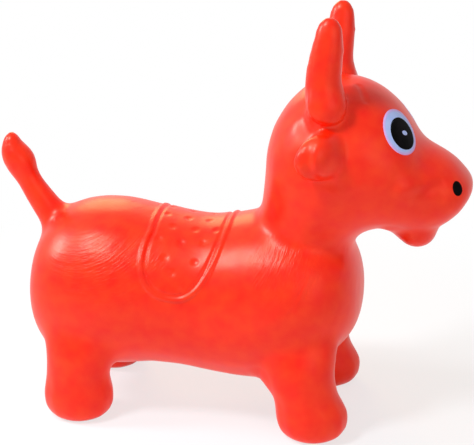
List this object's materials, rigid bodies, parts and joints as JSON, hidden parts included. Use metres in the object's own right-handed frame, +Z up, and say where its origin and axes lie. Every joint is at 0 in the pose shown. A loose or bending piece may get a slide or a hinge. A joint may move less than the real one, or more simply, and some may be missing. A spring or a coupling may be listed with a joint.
{
  "type": "bouncy animal hopper",
  "caption": "Inflatable soft-PVC bull that a child sits on and bounces, with horns to hold, a raised saddle, a tail, a printed face and an air plug under the belly.",
  "frame": {"origin": "on the floor, under the middle of the object's length and width", "axes": "+X towards the nose, +Y towards the animal's left, +Z up"},
  "size_m": [0.5551, 0.22, 0.482],
  "materials": {
    "skin_pvc": "soft moulded PVC, satin with broad highlights",
    "pale_ink": "printed ink, pale blue-white",
    "black_ink": "printed ink, black",
    "plug_plastic": "soft moulded polyethylene, off-white"
  },
  "bodies": {
    "torso": {"torso_skin": "skin_pvc", "front_leg_left": "skin_pvc", "front_leg_right": "skin_pvc", "rear_leg_left": "skin_pvc", "rear_leg_right": "skin_pvc", "saddle_panel": "skin_pvc", "valve_seat": "skin_pvc"},
    "head": {"head_skin": "skin_pvc", "ear_left": "skin_pvc", "ear_right": "skin_pvc", "eye_white_left": "pale_ink", "eye_white_right": "pale_ink", "pupil_left": "black_ink", "pupil_right": "black_ink", "eye_glint_left": "pale_ink", "eye_glint_right": "pale_ink", "nostril_left": "black_ink", "nostril_right": "black_ink"},
    "horn_left": {"horn_left": "skin_pvc"},
    "horn_right": {"horn_right": "skin_pvc"},
    "tail": {"tail": "skin_pvc"},
    "plug": {"valve_plug": "plug_plastic"}
  },
  "joints": [
    {"name": "neck_nod", "type": "hinge", "parent": "torso", "child": "head", "pos_m": [0.0796, 0, 0.191], "axis": [0, 1, 0], "range_deg": [-8, 8], "stiffness_Nm_per_rad": 40},
    {"name": "horn_left_bend", "type": "hinge", "parent": "head", "child": "horn_left", "pos_m": [0.115, 0.06, 0.393], "axis": [0, 1, 0], "range_deg": [-20, 20], "stiffness_Nm_per_rad": 1.5},
    {"name": "horn_right_bend", "type": "hinge", "parent": "head", "child": "horn_right", "pos_m": [0.115, -0.06, 0.393], "axis": [0, 1, 0], "range_deg": [-20, 20], "stiffness_Nm_per_rad": 1.5},
    {"name": "tail_bend", "type": "hinge", "parent": "torso", "child": "tail", "pos_m": [-0.21, 0, 0.217], "axis": [0, 1, 0], "range_deg": [-25, 25], "stiffness_Nm_per_rad": 0.8},
    {"name": "plug_pull", "type": "slide", "parent": "torso", "child": "plug", "axis": [0, 0, -1], "range_m": [0, 0.025]}
  ]
}
